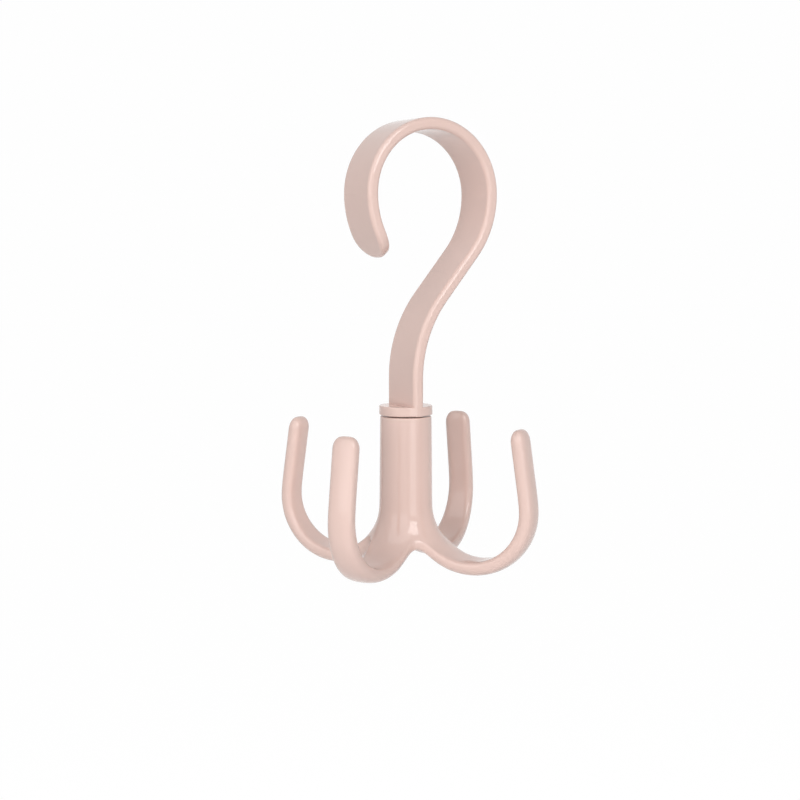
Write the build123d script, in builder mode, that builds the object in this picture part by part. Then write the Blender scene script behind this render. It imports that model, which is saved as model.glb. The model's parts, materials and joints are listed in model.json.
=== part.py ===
from build123d import *
from math import cos, radians, sin, sqrt
import os

os.makedirs("parts", exist_ok=True)

# A rotating closet hook: a flat plastic strip bent into a C hangs over a rail, and a hub with
# upturned claws turns below it on a spindle. Sizes are in millimetres, angles in degrees.
# The origin is the centre of the rail seat. +Z points up, +Y runs along the rail, and the C
# lies in the XZ plane with its mouth towards -X.

# Rail seat and strip
seat_radius = 19.45
flank_radius = 26.6
tip_sweep = 41.2
back_sweep = 39.7
strip_width = 16.6
strip_thickness = 3.7
strip_edge_radius = 1.3
strip_tip_flat = 1.0

# S-bend below the C, which brings the strip back over the swivel axis, and the upright stem
bend_radius = 37.0
swivel_offset = 5.5
stem_length = 8.62

# Collar that ends the strip, as wide as the strip, and the spindle below it
collar_height = 2.9
collar_edge_radius = 0.35
collar_gap = 0.4
spindle_radius = 4.5
spindle_root_radius = 0.3
spindle_end_chamfer = 0.4

# Hub, with a shoulder inside that rests on the washer and a flat foot round its recess
hub_radius = 8.0
hub_foot_radius = 8.37
hub_edge_radius = 0.4
hub_wall_length = 27.9
shoulder_depth = 28.0
shoulder_clearance = 0.1
running_clearance = 0.08
bore_chamfer = 0.4
recess_chamfer = 0.3
foot_wall = 0.8

# Claws, whose width runs evenly from the swivel axis out to their farthest reach
claw_count = 4
claw_turn = 32.8
claw_root_width = 15.7
claw_tip_width = 7.4
claw_thickness = 4.65
claw_edge_share = 0.475
claw_tip_flat = 1.4
claw_tip_drop = 1.9
claw_lean = 8.3
throat_radius = 15.5
web_radius = 8.8

# Washer under the shoulder
washer_radius = 5.6
washer_thickness = 0.8
washer_edge_radius = 0.15
washer_side_clearance = 0.3

# Pan-head screw, driven up into the spindle
screw_radius = 1.5
screw_length = 12.0
screw_point_length = 2.0
screw_point_radius = 0.4
screw_hole_clearance = 0.15
screw_head_radius = 2.8
screw_head_height = 2.0
screw_head_dome = 0.9
cross_length = 3.2
cross_width = 0.8
cross_depth = 1.2
pilot_radius = 1.25
pilot_spare_depth = 1.5

# Overrun of every cutting tool past the face that it cuts
overrun = 1.0

# The strip's path on the rail side: where the back flank ends, and where the S-bend starts and ends
swivel_x = -swivel_offset
flank_shift = flank_radius - seat_radius
back_end_x = flank_radius * cos(radians(back_sweep)) - flank_shift
back_end_z = -flank_radius * sin(radians(back_sweep))
outer_bend_radius = bend_radius + strip_thickness
stem_x = swivel_x - strip_thickness / 2
bend_top_x = stem_x + outer_bend_radius * (1 - cos(radians(back_sweep)))
slant_length = (back_end_x - bend_top_x) / sin(radians(back_sweep))
bend_top_z = back_end_z - slant_length * cos(radians(back_sweep))
bend_foot_z = bend_top_z - outer_bend_radius * sin(radians(back_sweep))
bend_centre = (stem_x + outer_bend_radius, bend_foot_z)

# The swivel axis and the levels along it
swivel_axis = Axis((swivel_x, 0, 0), (0, 0, 1))
collar_bottom = bend_foot_z - stem_length - collar_height
hub_top = collar_bottom - collar_gap
throat_level = hub_top - hub_wall_length
shoulder_level = hub_top - shoulder_depth
washer_top = shoulder_level - shoulder_clearance
washer_bottom = washer_top - washer_thickness
washer_face = Plane((swivel_x, 0, washer_top), z_dir=(0, 0, -1))
screw_face = Plane((swivel_x, 0, washer_bottom), z_dir=(0, 0, -1))

# Upper hook. The rail side of the strip is drawn from the tip, over the seat and down the
# S-bend to the collar's underside, and the strip's thickness is laid on outside it.
with BuildPart() as upper_hook:
    with BuildSketch(Plane.XZ):
        with BuildLine():
            CenterArc((flank_shift, 0), flank_radius, 180 + tip_sweep, -tip_sweep)
            CenterArc((0, 0), seat_radius, 180, -180)
            CenterArc((-flank_shift, 0), flank_radius, 0, -back_sweep)
            Line((back_end_x, back_end_z), (bend_top_x, bend_top_z))
            CenterArc(bend_centre, outer_bend_radius, 180 - back_sweep, back_sweep)
            Line((stem_x, bend_foot_z), (stem_x, collar_bottom))
            offset(amount=strip_thickness, side=Side.LEFT)
        make_face()
    extrude(amount=strip_width / 2, both=True)

    # The free end is rounded in width, then every edge of the strip is eased but its foot.
    tip_face = upper_hook.faces().filter_by(GeomType.PLANE).sort_by(Axis.X)[0]
    fillet(tip_face.edges().sort_by(SortBy.LENGTH)[:2], (strip_width - strip_tip_flat) / 2)
    foot_edges = upper_hook.faces().sort_by(Axis.Z)[0].edges()
    narrow_faces = upper_hook.faces().filter_by(Axis.Y)
    narrow_faces += upper_hook.faces().filter_by(GeomType.PLANE).sort_by(Axis.X)[:1]
    round_faces = upper_hook.faces().filter_by(GeomType.CYLINDER)
    narrow_faces += round_faces.filter_by(lambda face: face.radius < seat_radius)
    broad_edges = ShapeList([face for face in upper_hook.faces() if face not in narrow_faces]).edges()
    strip_rims = [edge for edge in narrow_faces.edges() if edge in broad_edges and edge not in foot_edges]
    fillet(strip_rims, strip_edge_radius)

    # Collar and spindle are turned about the swivel axis.
    with BuildSketch(Plane.XZ) as collar_half:
        with Locations((swivel_x, collar_bottom)):
            Rectangle(strip_width / 2, collar_height, align=(Align.MIN, Align.MIN))
        fillet(collar_half.vertices().group_by(Axis.X)[-1], collar_edge_radius)
    revolve(axis=swivel_axis)
    with BuildSketch(Plane.XZ) as spindle_half:
        with Locations((swivel_x, washer_top)):
            Rectangle(spindle_radius, collar_bottom - washer_top, align=(Align.MIN, Align.MIN))
        chamfer(spindle_half.vertices().group_by(Axis.X)[-1].sort_by(Axis.Y)[0], spindle_end_chamfer)
    revolve(axis=swivel_axis)
    fillet(upper_hook.edges(Select.LAST).group_by(Axis.Z)[-1], spindle_root_radius)
    with Locations(washer_face):
        Hole(pilot_radius, depth=screw_length - washer_thickness + pilot_spare_depth)
upper_hook.part.label = "upper_hook"
export_step(upper_hook.part, "parts/upper_hook.step")

# Claw body. Its radial section is turned into a bell, a cross in plan leaves the claws standing,
# and the rims are rounded almost to the full thickness.
claw_sine = sin(radians(claw_lean))
claw_cosine = cos(radians(claw_lean))
throat_centre = swivel_x + hub_foot_radius + throat_radius
under_radius = throat_radius + claw_thickness
bore_radius = spindle_radius + running_clearance
recess_radius = washer_radius + washer_side_clearance
foot_x = swivel_x + recess_radius + foot_wall
hub_bottom = throat_level - sqrt(under_radius**2 - (throat_centre - foot_x) ** 2)
tip_level = hub_top - claw_tip_drop
inner_tip_level = tip_level - claw_thickness * claw_sine
under_lean_x = throat_centre + under_radius * claw_cosine
under_lean_z = throat_level + under_radius * claw_sine
shank_length = (tip_level - under_lean_z) / claw_cosine
under_tip_x = under_lean_x - shank_length * claw_sine

with BuildPart() as claw_body:
    with BuildSketch(Plane.XZ):
        with BuildLine():
            Polyline(
                (foot_x, hub_bottom),
                (swivel_x, hub_bottom),
                (swivel_x, hub_top),
                (swivel_x + hub_radius, hub_top),
                (swivel_x + hub_foot_radius, throat_level),
            )
            CenterArc((throat_centre, throat_level), throat_radius, 180, 180 + claw_lean)
            Polyline(
                (under_lean_x - claw_thickness * claw_cosine, under_lean_z - claw_thickness * claw_sine),
                (under_tip_x - claw_thickness * claw_cosine, inner_tip_level),
                (under_tip_x, tip_level),
                (under_lean_x, under_lean_z),
            )
            ThreePointArc(
                (under_lean_x, under_lean_z),
                (throat_centre, throat_level - under_radius),
                (foot_x, hub_bottom),
            )
        make_face()
    revolve(axis=swivel_axis)

    claw_plane = Plane((swivel_x, 0, hub_top)).rotated((0, 0, claw_turn))
    reach = throat_centre - swivel_x + under_radius + overrun
    with BuildSketch(claw_plane) as cross:
        with PolarLocations(0, claw_count):
            Polygon(
                (0, -claw_root_width / 2),
                (reach, -claw_tip_width / 2),
                (reach, claw_tip_width / 2),
                (0, claw_root_width / 2),
                align=None,
            )
        fillet(cross.vertices().sort_by_distance((0, 0))[:claw_count], web_radius)
    extrude(amount=-(hub_wall_length + under_radius + overrun), mode=Mode.INTERSECT)

    tip_edges = claw_body.edges().filter_by_position(Axis.Z, inner_tip_level, tip_level)
    fillet(tip_edges.sort_by(SortBy.LENGTH)[: 2 * claw_count], (claw_tip_width - claw_tip_flat) / 2)
    side_faces = claw_body.faces().filter_by(GeomType.PLANE).filter_by(Axis.Z, reverse=True)
    side_faces += claw_body.faces().filter_by(GeomType.CYLINDER)
    side_faces += claw_body.faces().filter_by_position(Axis.Z, inner_tip_level, tip_level)
    bell_edges = ShapeList([face for face in claw_body.faces() if face not in side_faces]).edges()
    fillet([edge for edge in side_faces.edges() if edge in bell_edges], claw_edge_share * claw_thickness)

    # Bore for the spindle, and the recess below it for the washer and screw head
    fillet(claw_body.edges().group_by(Axis.Z)[-1], hub_edge_radius)
    with Locations(claw_plane):
        Hole(bore_radius)
    chamfer(claw_body.edges(Select.LAST).group_by(Axis.Z)[-1], bore_chamfer)
    with Locations(Plane((swivel_x, 0, hub_bottom), z_dir=(0, 0, -1))):
        Hole(recess_radius, depth=shoulder_level - hub_bottom)
    chamfer(claw_body.edges(Select.LAST).group_by(Axis.Z)[0], recess_chamfer)
claw_body.part.label = "claw_body"
export_step(claw_body.part, "parts/claw_body.step")

# Washer that carries the hub's shoulder
with BuildPart() as retaining_washer:
    with BuildSketch(washer_face):
        Circle(washer_radius)
        Circle(screw_radius + screw_hole_clearance, mode=Mode.SUBTRACT)
    extrude(amount=washer_thickness)
    fillet(retaining_washer.edges().group_by(SortBy.LENGTH)[-1], washer_edge_radius)
retaining_washer.part.label = "retaining_washer"
export_step(retaining_washer.part, "parts/retaining_washer.step")

# Screw, head down
with BuildPart() as retaining_screw:
    with BuildSketch(screw_face):
        Circle(screw_head_radius)
    extrude(amount=screw_head_height)
    fillet(retaining_screw.edges().sort_by(Axis.Z)[0], screw_head_dome)
    with BuildSketch(screw_face):
        Circle(screw_radius)
    extrude(amount=-(screw_length - screw_point_length))
    with BuildSketch(screw_face.offset(-(screw_length - screw_point_length))):
        Circle(screw_radius)
    with BuildSketch(screw_face.offset(-screw_length)):
        Circle(screw_point_radius)
    loft(ruled=True)
    with BuildSketch(screw_face.offset(screw_head_height)):
        Rectangle(cross_length, cross_width)
        Rectangle(cross_width, cross_length)
    extrude(amount=-cross_depth, mode=Mode.SUBTRACT)
retaining_screw.part.label = "retaining_screw"
export_step(retaining_screw.part, "parts/retaining_screw.step")
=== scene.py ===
"""Looks for the rotating closet hook: plastic mouldings, steel fixings, and a pale studio."""

import json
from math import atan2, cos, pi, radians, sin, sqrt

import bmesh
import bpy
from mathutils import Matrix, Vector


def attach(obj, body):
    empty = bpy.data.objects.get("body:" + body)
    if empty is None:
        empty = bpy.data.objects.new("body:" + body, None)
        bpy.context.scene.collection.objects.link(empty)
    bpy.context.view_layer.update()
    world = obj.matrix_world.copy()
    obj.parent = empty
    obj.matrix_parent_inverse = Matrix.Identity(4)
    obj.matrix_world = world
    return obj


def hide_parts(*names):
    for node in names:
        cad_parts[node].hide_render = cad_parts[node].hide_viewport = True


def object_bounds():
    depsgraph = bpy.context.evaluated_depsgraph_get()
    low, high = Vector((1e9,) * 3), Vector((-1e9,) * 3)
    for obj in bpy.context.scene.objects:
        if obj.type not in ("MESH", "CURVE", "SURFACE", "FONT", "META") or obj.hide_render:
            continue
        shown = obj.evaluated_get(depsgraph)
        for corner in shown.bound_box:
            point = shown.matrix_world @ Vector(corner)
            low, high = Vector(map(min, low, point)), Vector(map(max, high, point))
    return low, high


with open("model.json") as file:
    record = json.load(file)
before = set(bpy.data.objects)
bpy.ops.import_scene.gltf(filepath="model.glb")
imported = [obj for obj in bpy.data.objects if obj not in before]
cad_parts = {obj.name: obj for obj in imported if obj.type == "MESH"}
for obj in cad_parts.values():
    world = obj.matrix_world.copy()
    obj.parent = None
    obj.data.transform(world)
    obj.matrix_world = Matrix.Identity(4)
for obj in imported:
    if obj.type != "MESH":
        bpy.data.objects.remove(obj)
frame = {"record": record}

bl_info = {
    "name": "Rotating closet hook",
    "version": (1, 0, 0),
    "blender": (4, 5, 0),
    "location": "View3D > Sidebar > Closet hook",
    "description": "Dresses the rotating closet hook and lights it",
    "category": "Object",
}

CAD_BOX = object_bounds()
SWIVEL = Vector(frame["record"]["behaviour"]["joints"][0]["pos_m"])


class Signal:
    """A socket in an expression, whose sums add Math nodes."""

    def __init__(self, finish, socket):
        self.finish = finish
        self.socket = socket

    def output(self, name):
        """Another output of the same node."""
        return Signal(self.finish, self.socket.node.outputs[name])

    def math(self, operation, *values):
        """Add a Math node for any operation on sockets and numbers."""
        return self.finish.node(
            "ShaderNodeMath", {"operation": operation}, dict(enumerate(values))
        )

    def __add__(self, other):
        return self.math("ADD", self, other)

    def __sub__(self, other):
        return self.math("SUBTRACT", self, other)

    def __mul__(self, other):
        return self.math("MULTIPLY", self, other)

    def __pow__(self, other):
        return self.math("POWER", self, other)

    def __radd__(self, other):
        return self.math("ADD", other, self)

    def __rsub__(self, other):
        return self.math("SUBTRACT", other, self)

    def __rmul__(self, other):
        return self.math("MULTIPLY", other, self)

    def __rpow__(self, other):
        return self.math("POWER", other, self)


WHITE = (1.0, 1.0, 1.0, 1.0)
# Sockets of a Mix node on colours: its factor, its two colours, and its result.
MIX_FACTOR = 0
MIX_FIRST = 6
MIX_SECOND = 7
MIX_RESULT = 2


def tint(colour, factor):
    """A lighter or darker tone of a colour, as the shader's sockets take it."""
    return (colour[0] * factor, colour[1] * factor, colour[2] * factor, 1.0)


class Finish:
    """A node tree of one material or of the world."""

    def __init__(self, owner):
        owner.use_nodes = True
        self.owner = owner
        self.tree = owner.node_tree
        self.tree.nodes.clear()

    def node(self, kind, settings=None, values=None, output=0):
        """Add a node: its settings, then the values or links of its sockets."""
        node = self.tree.nodes.new(kind)
        for name, setting in (settings or {}).items():
            setattr(node, name, setting)
        for name, value in (values or {}).items():
            socket = node.inputs[name]
            if isinstance(value, Signal):
                self.tree.links.new(value.socket, socket)
            else:
                socket.default_value = value
        return Signal(self, node.outputs[output] if node.outputs else None)

    def place(self):
        """Place on the piece, in metres."""
        return self.node("ShaderNodeTexCoord", output="Object")

    def noise(self, place, scale, detail, roughness=0.5):
        """Cloudy noise, with about as many clouds in a metre as its scale."""
        return self.node(
            "ShaderNodeTexNoise",
            values={"Vector": place, "Scale": scale, "Detail": detail, "Roughness": roughness},
        )

    def shades(self, factor, colour, darker, lighter):
        """Vary a colour between a darker and a lighter tone of it."""
        first, second = tint(colour, darker), tint(colour, lighter)
        return self.node(
            "ShaderNodeMix",
            {"data_type": "RGBA"},
            {MIX_FACTOR: factor, MIX_FIRST: first, MIX_SECOND: second},
            output=MIX_RESULT,
        )

    def bump(self, height, strength, distance):
        """Relief from a height, as a normal."""
        return self.node(
            "ShaderNodeBump",
            values={"Strength": strength, "Distance": distance, "Height": height},
        )

    def backdrop_rays(self):
        """1 for the rays that see the background: from the camera, mirrored or let through."""
        rays = self.node("ShaderNodeLightPath", output="Is Camera Ray")
        rays = rays + rays.output("Is Glossy Ray") + rays.output("Is Transmission Ray")
        return rays.math("MINIMUM", rays, 1.0)

    def surface(self, shader):
        """Close the tree with its shader and return the material."""
        self.node("ShaderNodeOutputMaterial", values={"Surface": shader})
        return self.owner


class HookColours(bpy.types.PropertyGroup):
    plastic: bpy.props.FloatVectorProperty(
        name="Plastic", description="Colour of the moulded plastic",
        subtype="COLOR", size=3, min=0.0, max=1.0, default=(0.77, 0.564, 0.502),
    )
    gloss_roughness: bpy.props.FloatProperty(
        name="Gloss roughness", description="Roughness of the polished plastic",
        subtype="FACTOR", min=0.0, max=1.0, default=0.08,
    )
    steel: bpy.props.FloatVectorProperty(
        name="Steel", description="Colour of the zinc-plated washer and screw",
        subtype="COLOR", size=3, min=0.0, max=1.0, default=(0.62, 0.62, 0.63),
    )
    floor: bpy.props.FloatVectorProperty(
        name="Floor", description="Colour of the floor",
        subtype="COLOR", size=3, min=0.0, max=1.0, default=(0.86, 0.86, 0.86),
    )


class StageSizes(bpy.types.PropertyGroup):
    camera_distance: bpy.props.FloatProperty(
        name="Camera distance", description="From the camera to the point that it looks at",
        unit="LENGTH", default=0.4908,
    )
    camera_azimuth: bpy.props.FloatProperty(
        name="Camera azimuth", description="Turn of the camera about the upright axis, from -Y",
        subtype="ANGLE", default=radians(-30.27),
    )
    camera_elevation: bpy.props.FloatProperty(
        name="Camera elevation", description="Height angle of the camera",
        subtype="ANGLE", default=radians(5.84),
    )
    floor_drop: bpy.props.FloatProperty(
        name="Floor drop", description="From the lowest claw of the hanging hook to the floor",
        unit="LENGTH", default=0.6,
    )


class ClawSizes(bpy.types.PropertyGroup):
    throat_reach: bpy.props.FloatProperty(
        name="Throat reach", description="From the swivel axis out to the throat's middle",
        unit="LENGTH", default=0.02387,
    )
    throat_level: bpy.props.FloatProperty(
        name="Throat level", description="Height of the throat's middle from the hub's top",
        unit="LENGTH", default=-0.0279,
    )
    throat_radius: bpy.props.FloatProperty(
        name="Throat radius", description="Radius of the throat that a strap lies in",
        unit="LENGTH", default=0.0155,
    )
    thickness: bpy.props.FloatProperty(
        name="Claw thickness", description="Thickness of a claw",
        unit="LENGTH", default=0.00463,
    )
    root_width: bpy.props.FloatProperty(
        name="Root width", description="Width of a claw where it leaves the bell",
        unit="LENGTH", default=0.0124,
    )
    shank_width: bpy.props.FloatProperty(
        name="Shank width", description="Width of a claw's upright shank",
        unit="LENGTH", default=0.0082,
    )
    web_reach: bpy.props.FloatProperty(
        name="Web reach", description="From the swivel axis out to the web between two claws",
        unit="LENGTH", default=0.0117,
    )
    lean: bpy.props.FloatProperty(
        name="Lean", description="Lean of the upright shanks towards the hub",
        subtype="ANGLE", default=radians(8.3),
    )
    shank_length: bpy.props.FloatProperty(
        name="Shank length", description="Length of the straight shank up to the tip",
        unit="LENGTH", default=0.02333,
    )
    turn: bpy.props.FloatProperty(
        name="Turn", description="Turn of the first claw about the swivel axis",
        subtype="ANGLE", default=radians(32.8),
    )
    hub_radius: bpy.props.FloatProperty(
        name="Hub radius", description="Radius of the hub at its top",
        unit="LENGTH", default=0.008,
    )
    bore_radius: bpy.props.FloatProperty(
        name="Bore radius", description="Radius of the bore that the spindle turns in",
        unit="LENGTH", default=0.00458,
    )
    recess_radius: bpy.props.FloatProperty(
        name="Recess radius", description="Radius of the recess in the hub's foot",
        unit="LENGTH", default=0.0059,
    )
    shoulder_depth: bpy.props.FloatProperty(
        name="Shoulder depth", description="From the hub's top down to the inner shoulder",
        unit="LENGTH", default=0.028,
    )


# How far the plastic's polish varies from place to place.
POLISH_SPREAD = 0.05
# Roughness of the steel at its smoothest, and what its turned rings add.
STEEL_ROUGHNESS = 0.26
RING_ROUGHNESS = 0.15


def plastic_finish(colours):
    """Glossy moulded plastic with faint flow clouds, orange peel and uneven polish."""
    finish = Finish(bpy.data.materials.new("moulded_plastic"))
    place = finish.place()
    clouds = finish.noise(place, scale=40.0, detail=3.0)
    peel = finish.noise(place, scale=500.0, detail=2.0)
    wear = finish.noise(place, scale=220.0, detail=4.0, roughness=0.65)
    shader = finish.node(
        "ShaderNodeBsdfPrincipled",
        values={
            "Base Color": finish.shades(clouds, colours.plastic, darker=0.965, lighter=1.03),
            "Roughness": colours.gloss_roughness + POLISH_SPREAD * (wear - 0.5),
            "IOR": 1.52,
            "Normal": finish.bump(peel, strength=0.025, distance=0.0002),
        },
    )
    return finish.surface(shader)


def steel_finish(colours):
    """Zinc-plated steel with turned rings about the swivel axis."""
    finish = Finish(bpy.data.materials.new("zinc_plate"))
    place = finish.place()
    centred = finish.node(
        "ShaderNodeMapping",
        {"vector_type": "POINT"},
        {"Vector": place, "Location": (-SWIVEL.x, -SWIVEL.y, 0.0)},
    )
    axes = finish.node("ShaderNodeSeparateXYZ", values={"Vector": centred})
    across, along = axes.output("X"), axes.output("Y")
    radius = (across * across + along * along) ** 0.5
    rings = finish.node(
        "ShaderNodeTexNoise",
        {"noise_dimensions": "1D"},
        {"W": radius, "Scale": 6000.0, "Detail": 3.0},
    )
    clouds = finish.noise(place, scale=400.0, detail=3.0)
    shader = finish.node(
        "ShaderNodeBsdfPrincipled",
        values={
            "Base Color": finish.shades(clouds, colours.steel, darker=0.85, lighter=1.1),
            "Metallic": 1.0,
            "Roughness": STEEL_ROUGHNESS + RING_ROUGHNESS * rings,
            "Normal": finish.bump(rings, strength=0.25, distance=0.00005),
        },
    )
    return finish.surface(shader)


# Share of the floor that is shown as white, while the rest keeps its shadows, and the strength of
# that white: with the lit rest it comes out at 1. The world is as bright as the floor's far edge.
WHITE_SHARE = 0.96
WHITE_STRENGTH = 1.033


def floor_finish(colours):
    """Pale floor, shown white to the camera with the object's shadow kept on it."""
    finish = Finish(bpy.data.materials.new("floor"))
    diffuse = finish.node("ShaderNodeBsdfDiffuse", values={"Color": tint(colours.floor, 1.0)})
    white = finish.node(
        "ShaderNodeEmission", values={"Color": WHITE, "Strength": WHITE_STRENGTH}
    )
    seen = WHITE_SHARE * finish.backdrop_rays()
    shader = finish.node("ShaderNodeMixShader", values={0: seen, 1: diffuse, 2: white})
    return finish.surface(shader)


def object_from(name, form, material):
    """Make an object of a bmesh and a material."""
    mesh = bpy.data.meshes.new(name)
    form.to_mesh(mesh)
    form.free()
    mesh.materials.append(material)
    piece = bpy.data.objects.new(name, mesh)
    bpy.context.scene.collection.objects.link(piece)
    return piece


def keep_smoothed(piece):
    """Turn what the piece's modifiers make into its mesh."""
    smoothed = piece.evaluated_get(bpy.context.evaluated_depsgraph_get())
    piece.data = bpy.data.meshes.new_from_object(smoothed)
    piece.modifiers.clear()


def dress(node, material):
    """Give a CAD node a better material."""
    materials = bpy.data.objects[node].data.materials
    for number in range(len(materials)):
        materials[number] = material


# The claw moulding's cage has spokes about the swivel axis, and rows that run outwards: a few on
# the bell from the hub's foot to where the claws leave it, then those round a claw's throat and
# up its shank. A claw has its middle spoke and those up to the side spoke on either side of it,
# and the spokes between two claws carry the web.
CLAWS = 4
SPOKES = 32
SPOKES_PER_CLAW = SPOKES // CLAWS
SIDE_SPOKE = 2
FOOT_ROW = 0
LEAVING_ROW = 3
ARC_ROWS = 10
# Shares of the shank's length at which its rows lie.
SHANK_SHARES = (0.3, 0.62, 0.8, 0.888, 1.0)
LAST_ARC_ROW = LEAVING_ROW + ARC_ROWS
LAST_ROW = LAST_ARC_ROW + len(SHANK_SHARES)

# Phases round a claw's throat, from straight outwards over the top: where the claw's upper and
# lower faces meet the hub's foot, where the claw leaves the bell, and the rings of the flare.
UPPER_FOOT_PHASE = radians(205.0)
LOWER_FOOT_PHASE = radians(211.56)
LEAVING_PHASE = radians(245.6)
FLARE_PHASES = (radians(197.0), radians(188.5), pi)
# Shares of the hub's wall, from the flare up to the top, at which its rings lie.
WALL_SHARES = (0.15, 0.5, 0.85, 0.975, 1.0)

# The lines of a claw's section on its upper and its lower face, from the middle to the side, on
# the shank and where it leaves the bell: share of the half width, and share of the thickness in
# from the face.
UPPER_LINES = ((0.0, 0.0), (0.52, 0.02), (1.0, 0.15))
UPPER_ROOT = ((0.0, 0.0), (0.6, 0.0), (1.18, 0.0))
LOWER_LINES = ((0.0, 0.0), (0.52, 0.01), (1.0, 0.13))
LOWER_ROOT = ((0.0, 0.0), (0.52, 0.03), (0.96, 0.24))
# How fast the root's width gives way to the shank's, as a power of the share of the way.
NARROWING = 1.7

# Smoothing draws the cage in by these factors, so its places are divided by them: a ring of
# spokes, an arc of rows about a step apart, and the side of a claw, which is the middle of a span
# of four lines.
ARC_STEP = radians(12.3)
RING_DRAW = (2.0 + cos(2.0 * pi / SPOKES)) / 3.0
ARC_DRAW = (2.0 + cos(ARC_STEP)) / 3.0
SPAN_WEIGHTS = (1.0, 23.0, 23.0, 1.0)
SPAN_SHARES = (UPPER_LINES[1][0], UPPER_LINES[2][0], LOWER_LINES[2][0], LOWER_LINES[1][0])
SIDE_DRAW = sum(w * s for w, s in zip(SPAN_WEIGHTS, SPAN_SHARES)) / sum(SPAN_WEIGHTS)

# Lift of the web between two claws above the bell's own underside, by spoke and row, and how much
# farther out than its middle the web ends beside a claw.
WEB_LIFTS = {4: (0.0, 0.0012, 0.0023, 0.004), 3: (0.0, 0.001, 0.002, 0.0036)}
WEB_ENDS = {4: 0.0, 3: 0.00065}

# The tip: the last row lies a little beyond the shank, its sides lie lower and farther in than
# its middle, and both faces close up by a share of the thickness.
TIP_EXTRA = 0.0001
TIP_SIDE_DROP = 0.0011
TIP_SIDE_SHARE = 0.78
TIP_TAPER = 0.2

# Softened edges of the hub's top, the bore and the recess, and the crease round the hub's foot.
HUB_EDGE = 0.0007
BORE_EDGE = 0.0004
RECESS_EDGE = 0.0003
FOOT_CREASE = 0.8
SHARP_CREASE = 1.0


class ClawShape:
    """Where each row and spoke of the claw moulding's cage lies, in metres, from the hub's top."""

    def __init__(self, sizes):
        self.sizes = sizes
        self.upper = sizes.throat_radius / ARC_DRAW
        self.lower = (sizes.throat_radius + sizes.thickness) / ARC_DRAW
        self.end_phase = 2.0 * pi + sizes.lean

    def wall(self, level):
        """Step from one face of the claw through to its other face."""
        return self.upper + self.lower - 2.0 * level

    def bell_height(self, level, reach):
        """Height of the bell at a reach from the swivel axis, on the throat's inner half."""
        return self.sizes.throat_level - sqrt(level**2 - (self.sizes.throat_reach - reach) ** 2)

    def section(self, spoke, level, rootness):
        """Share of the half width, and radius about the throat, of a line along a claw."""
        upper = level == self.upper
        lines, root = (UPPER_LINES, UPPER_ROOT) if upper else (LOWER_LINES, LOWER_ROOT)
        line, leaving = lines[abs(spoke)], root[abs(spoke)]
        share, depth = (slim + (full - slim) * rootness for slim, full in zip(line, leaving))
        return share, level + depth * self.wall(level)

    def on_claw(self, spoke, level, phase, climb, narrowed=1.0, taper=0.0):
        """A point on a claw: its phase round the throat and the climb up its shank."""
        sizes = self.sizes
        rootness = (self.end_phase - phase) / (self.end_phase - LEAVING_PHASE)
        share, ring = self.section(spoke, level, rootness)
        ring += taper * self.wall(level)
        reach = sizes.throat_reach + ring * cos(phase) - climb * sin(sizes.lean)
        height = sizes.throat_level + ring * sin(phase) + climb * cos(sizes.lean)
        width = sizes.shank_width + (sizes.root_width - sizes.shank_width) * rootness**NARROWING
        side = (spoke > 0) - (spoke < 0)
        across = side * share * narrowed * width / 2.0 / SIDE_DRAW
        return Vector((sqrt(reach**2 - across**2), across, height))

    def on_shank(self, row, spoke, level):
        """A point above the throat, up to the tip."""
        share = SHANK_SHARES[row - LAST_ARC_ROW - 1]
        length = self.sizes.shank_length + TIP_EXTRA
        if row < LAST_ROW:
            return self.on_claw(spoke, level, self.end_phase, share * length)
        at_side = abs(spoke) == SIDE_SPOKE
        drop, narrowed = (TIP_SIDE_DROP, TIP_SIDE_SHARE) if at_side else (0.0, 1.0)
        return self.on_claw(spoke, level, self.end_phase, length - drop, narrowed, TIP_TAPER)

    def on_bell(self, row, spoke, level):
        """A point on the bell, from the hub's foot out to the web or to a claw's root."""
        sizes = self.sizes
        along = row / LEAVING_ROW
        foot_phase = UPPER_FOOT_PHASE if level == self.upper else LOWER_FOOT_PHASE
        foot_reach = sizes.throat_reach + level * cos(foot_phase)
        angle = spoke * 2.0 * pi / SPOKES
        if abs(spoke) > SIDE_SPOKE:
            web_reach = sizes.web_reach + WEB_ENDS[abs(spoke)]
            reach = foot_reach + (web_reach - foot_reach) * along
            height = self.bell_height(level, reach)
            if level == self.lower:
                height += WEB_LIFTS[abs(spoke)][row]
        else:
            leaving = self.on_claw(spoke, level, LEAVING_PHASE, 0.0)
            angle += (atan2(leaving.y, leaving.x) - angle) * along
            phase = foot_phase + (LEAVING_PHASE - foot_phase) * along
            ring = level + (self.section(spoke, level, 1.0)[1] - level) * along
            reach = sizes.throat_reach + ring * cos(phase)
            height = sizes.throat_level + ring * sin(phase)
        reach /= RING_DRAW + (1.0 - RING_DRAW) * along
        return Vector((reach * cos(angle), reach * sin(angle), height))

    def point(self, row, spoke, level):
        """Place of a cage vertex about its own claw, whose spokes count from its middle."""
        if row > LAST_ARC_ROW:
            return self.on_shank(row, spoke, level)
        if row > LEAVING_ROW:
            step = (self.end_phase - LEAVING_PHASE) / ARC_ROWS
            return self.on_claw(spoke, level, LEAVING_PHASE + step * (row - LEAVING_ROW), 0.0)
        return self.on_bell(row, spoke, level)


def grow(form, edges):
    """Extrude edges on the spot and return the new vertices and the new row of edges."""
    made = bmesh.ops.extrude_edge_only(form, edges=edges)["geom"]
    verts = {item for item in made if isinstance(item, bmesh.types.BMVert)}
    bars = [item for item in made if isinstance(item, bmesh.types.BMEdge)]
    return verts, [edge for edge in bars if verts.issuperset(edge.verts)]


def grow_rows(form, edges, numbers, rows):
    """Extrude edges once for each number, which the new vertices keep as their row."""
    for number in numbers:
        verts, edges = grow(form, edges)
        for vert in verts:
            vert[rows] = number
    return edges


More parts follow.
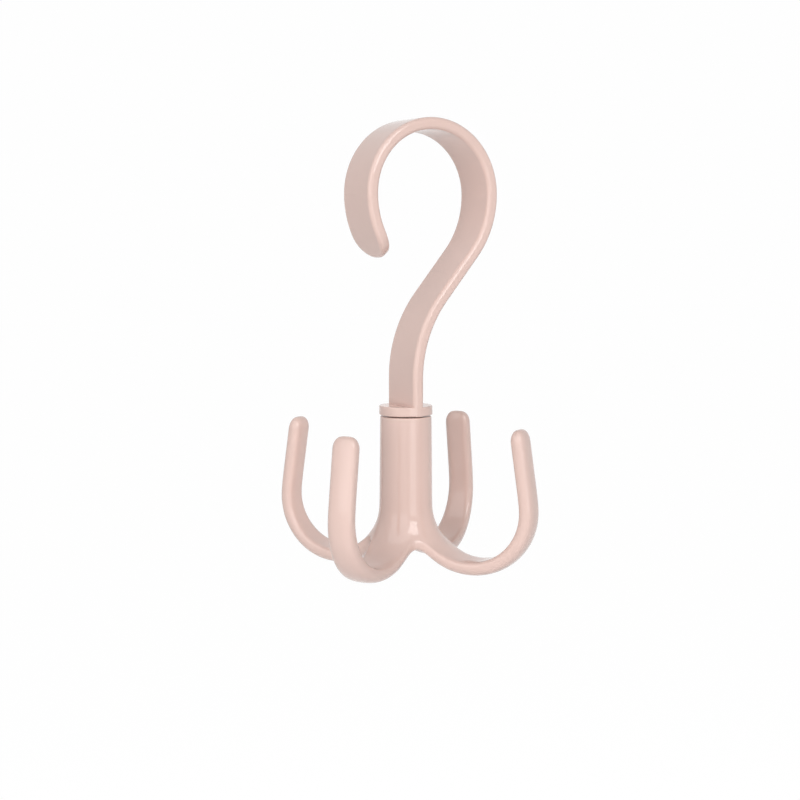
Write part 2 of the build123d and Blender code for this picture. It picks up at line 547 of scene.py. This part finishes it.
def ring_up(form, edges, radius, height):
    """Extrude a ring of edges to another radius and height."""
    verts, ring = grow(form, edges)
    for vert in verts:
        scale = radius / RING_DRAW / vert.co.xy.length
        vert.co = (vert.co.x * scale, vert.co.y * scale, height)
    return ring


def sharp_rings(form, edges, crease, places):
    """Extrude a ring of edges to each radius and height in turn, with no smoothing there."""
    for radius, height in places:
        edges = ring_up(form, edges, radius, height)
        for edge in edges:
            edge[crease] = SHARP_CREASE
    return edges


def grow_sheet(form, rows, spokes):
    """Grow the bell and its four claws as one sheet of quads, whose places are set later."""
    ring = bmesh.ops.create_circle(form, segments=SPOKES, radius=1.0)["verts"]
    for vert in ring:
        vert[spokes] = round(atan2(vert.co.y, vert.co.x) * SPOKES / (2.0 * pi)) % SPOKES
    leaving = grow_rows(form, list(form.edges), range(1, LEAVING_ROW + 1), rows)
    for middle in range(0, SPOKES, SPOKES_PER_CLAW):
        claw = {(middle + spoke) % SPOKES for spoke in range(-SIDE_SPOKE, SIDE_SPOKE + 1)}
        root = [edge for edge in leaving if all(vert[spokes] in claw for vert in edge.verts)]
        grow_rows(form, root, range(LEAVING_ROW + 1, LAST_ROW + 1), rows)


def claw_cage(sizes):
    """Cage of the hub and its claws, all of quads, which subdivision turns into the moulding."""
    shape = ClawShape(sizes)
    form = bmesh.new()
    rows = form.verts.layers.int.new("row")
    spokes = form.verts.layers.int.new("spoke")
    crease = form.edges.layers.float.new("crease_edge")
    grow_sheet(form, rows, spokes)
    upper = set(form.verts)
    made = bmesh.ops.extrude_face_region(form, geom=list(form.faces), use_keep_orig=True)["geom"]
    lower = {item for item in made if isinstance(item, bmesh.types.BMVert)}
    half = SPOKES_PER_CLAW // 2
    for verts, level in ((upper, shape.upper), (lower, shape.lower)):
        for vert in verts:
            claw, spoke = divmod(vert[spokes] + half, SPOKES_PER_CLAW)
            place = shape.point(vert[rows], spoke - half, level)
            vert.co = Matrix.Rotation(claw % CLAWS * 2.0 * pi / CLAWS, 3, "Z") @ place

    # The inner rim is opened. Its upper ring grows into the hub and the bore, its lower one into
    # the foot and the recess, and both meet at the inner shoulder.
    inner = [face for face in form.faces if all(vert[rows] == FOOT_ROW for vert in face.verts)]
    bmesh.ops.delete(form, geom=inner, context="FACES")
    rims = [edge for edge in form.edges if all(vert[rows] == FOOT_ROW for vert in edge.verts)]
    hub_edges = [edge for edge in rims if upper.issuperset(edge.verts)]
    foot_edges = [edge for edge in rims if lower.issuperset(edge.verts)]
    foot_level = max(vert.co.z for edge in foot_edges for vert in edge.verts)
    for phase in FLARE_PHASES:
        radius = sizes.throat_reach + shape.upper * cos(phase)
        height = sizes.throat_level + shape.upper * sin(phase)
        hub_edges = ring_up(form, hub_edges, radius, height)
    root_radius = sizes.throat_reach - shape.upper
    for share in WALL_SHARES:
        radius = root_radius + (sizes.hub_radius - root_radius) * share
        hub_edges = ring_up(form, hub_edges, radius, sizes.throat_level * (1.0 - share))
    hub_edges = ring_up(form, hub_edges, sizes.hub_radius - HUB_EDGE, 0.0)
    hub_places = (
        (sizes.bore_radius + BORE_EDGE, 0.0),
        (sizes.bore_radius, -BORE_EDGE),
        (sizes.bore_radius, -sizes.shoulder_depth),
    )
    hub_edges = sharp_rings(form, hub_edges, crease, hub_places)
    for edge in foot_edges:
        edge[crease] = FOOT_CREASE
    foot_places = (
        (sizes.recess_radius + RECESS_EDGE, foot_level),
        (sizes.recess_radius, foot_level + RECESS_EDGE),
        (sizes.recess_radius, -sizes.shoulder_depth),
    )
    foot_edges = sharp_rings(form, foot_edges, crease, foot_places)
    bmesh.ops.bridge_loops(form, edges=hub_edges + foot_edges)
    bmesh.ops.recalc_face_normals(form, faces=form.faces)
    return form


class ClawOperator(bpy.types.Operator):
    """Model the hub and its four claws in one smooth moulding"""

    bl_idname = "closet_hook.claws"
    bl_label = "Hub and claws"

    def execute(self, context):
        sizes = context.scene.claw_sizes
        form = claw_cage(sizes)
        turn = Matrix.Rotation(sizes.turn, 3, "Z")
        bmesh.ops.rotate(form, verts=form.verts, cent=(0, 0, 0), matrix=turn)
        bmesh.ops.translate(form, verts=form.verts, vec=SWIVEL)
        for face in form.faces:
            face.smooth = True
        plastic = bpy.data.objects["claw_body"].data.materials[0]
        piece = object_from("claw_moulding", form, plastic)
        smooth = piece.modifiers.new("smooth", "SUBSURF")
        smooth.levels = smooth.render_levels = 2
        keep_smoothed(piece)
        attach(piece, "claws")
        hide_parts("claw_body")
        return {"FINISHED"}


class MouldingOperator(bpy.types.Operator):
    """Give the two mouldings their glossy plastic"""

    bl_idname = "closet_hook.mouldings"
    bl_label = "Mouldings"

    def execute(self, context):
        plastic = plastic_finish(context.scene.hook_colours)
        dress("upper_hook", plastic)
        dress("claw_body", plastic)
        return {"FINISHED"}


class FixingsOperator(bpy.types.Operator):
    """Give the washer and the screw their zinc-plated steel"""

    bl_idname = "closet_hook.fixings"
    bl_label = "Washer and screw"

    def execute(self, context):
        steel = steel_finish(context.scene.hook_colours)
        dress("retaining_washer", steel)
        dress("retaining_screw", steel)
        return {"FINISHED"}


# The point in the middle of the picture, which the camera and the lamps face.
AIM = Vector((-0.00706, 0.00091, -0.06362))
# Width of the camera's sensor and focal length of its lens in millimetres, and the distance at
# which it starts to see, in metres.
SENSOR_WIDTH = 36.0
LENS = 70.92
NEAREST_SEEN = 0.01
# Half the floor's width in metres, and its cells from side to side.
FLOOR_HALF_WIDTH = 12.0
FLOOR_CELLS = 8
# Name, azimuth and elevation in degrees, distance, width and height in metres, the level, at
# which 1 lights a white surface that faces the lamp to white, and whether gloss mirrors the lamp.
LAMPS = (
    ("key", 2.0, 30.0, 1.2, 0.6, 0.6, 0.35, True),
    ("front_left", -55.0, 35.0, 1.2, 1.6, 1.6, 0.62, True),
    ("low_strip", 2.0, -3.0, 1.2, 0.55, 0.3, 0.055, True),
    ("low_left", -50.0, -5.0, 1.2, 1.0, 0.5, 0.44, False),
    ("right", 70.0, 12.0, 1.2, 1.0, 1.0, 0.33, False),
    ("back", 180.0, 30.0, 1.2, 1.2, 1.0, 0.5, False),
)


def set_facing(name, data, azimuth, elevation, distance):
    """Put a lamp or the camera at an azimuth, turned from -Y, and an elevation, facing the aim."""
    direction = Vector(
        (sin(azimuth) * cos(elevation), -cos(azimuth) * cos(elevation), sin(elevation))
    )
    item = bpy.data.objects.new(name, data)
    item.location = AIM + direction * distance
    item.rotation_euler = (-direction).to_track_quat("-Z", "Y").to_euler()
    bpy.context.scene.collection.objects.link(item)
    return item


class StageOperator(bpy.types.Operator):
    """Set up the floor, the lamps, the world and the camera"""

    bl_idname = "closet_hook.stage"
    bl_label = "Stage"

    def execute(self, context):
        scene = context.scene
        self.floor(scene)
        for lamp in LAMPS:
            self.lamp(*lamp)
        self.world(scene)
        self.camera(scene)
        scene.view_settings.view_transform = "Standard"
        return {"FINISHED"}

    def floor(self, scene):
        """A plain level floor below the hanging hook."""
        form = bmesh.new()
        bmesh.ops.create_grid(
            form, x_segments=FLOOR_CELLS, y_segments=FLOOR_CELLS, size=FLOOR_HALF_WIDTH
        )
        level = CAD_BOX[0].z - scene.stage_sizes.floor_drop
        bmesh.ops.translate(form, verts=form.verts, vec=(0.0, 0.0, level))
        floor = object_from("floor", form, floor_finish(scene.hook_colours))

    def lamp(self, name, azimuth, elevation, distance, width, height, level, mirrored):
        """A soft rectangular lamp, from a row of the table."""
        light = bpy.data.lights.new(name, "AREA")
        light.shape = "RECTANGLE"
        light.size = width
        light.size_y = height
        light.energy = level * pi**2 * distance**2
        lamp = set_facing(name, light, radians(azimuth), radians(elevation), distance)
        lamp.visible_glossy = mirrored

    def world(self, scene):
        """Surroundings that look white and give no light."""
        scene.world = bpy.data.worlds.new("studio")
        finish = Finish(scene.world)
        strength = WHITE_SHARE * WHITE_STRENGTH * finish.backdrop_rays()
        light = finish.node("ShaderNodeBackground", values={"Color": WHITE, "Strength": strength})
        finish.node("ShaderNodeOutputWorld", values={"Surface": light})

    def camera(self, scene):
        """The camera at the photograph's viewing angle."""
        lens = bpy.data.cameras.new("camera")
        lens.sensor_width = SENSOR_WIDTH
        lens.lens = LENS
        lens.clip_start = NEAREST_SEEN
        sizes = scene.stage_sizes
        scene.camera = set_facing(
            "camera", lens, sizes.camera_azimuth, sizes.camera_elevation, sizes.camera_distance
        )


class HookPanel(bpy.types.Panel):
    """The hook's pieces, colours and stage"""

    bl_idname = "VIEW3D_PT_closet_hook"
    bl_label = "Rotating closet hook"
    bl_space_type = "VIEW_3D"
    bl_region_type = "UI"
    bl_category = "Closet hook"

    def draw(self, context):
        for operator in OPERATORS:
            self.layout.operator(operator.bl_idname)
        scene = context.scene
        for group in (scene.hook_colours, scene.claw_sizes, scene.stage_sizes):
            for name in group.__annotations__:
                self.layout.prop(group, name)


OPERATORS = (MouldingOperator, ClawOperator, FixingsOperator, StageOperator)
CLASSES = (HookColours, ClawSizes, StageSizes) + OPERATORS + (HookPanel,)


def register():
    for item in CLASSES:
        bpy.utils.register_class(item)
    bpy.types.Scene.hook_colours = bpy.props.PointerProperty(type=HookColours)
    bpy.types.Scene.claw_sizes = bpy.props.PointerProperty(type=ClawSizes)
    bpy.types.Scene.stage_sizes = bpy.props.PointerProperty(type=StageSizes)


def unregister():
    del bpy.types.Scene.stage_sizes
    del bpy.types.Scene.claw_sizes
    del bpy.types.Scene.hook_colours
    for item in reversed(CLASSES):
        bpy.utils.unregister_class(item)


def main():
    register()
    bpy.ops.closet_hook.mouldings()
    bpy.ops.closet_hook.claws()
    bpy.ops.closet_hook.fixings()
    bpy.ops.closet_hook.stage()


if __name__ == "__main__":
    main()
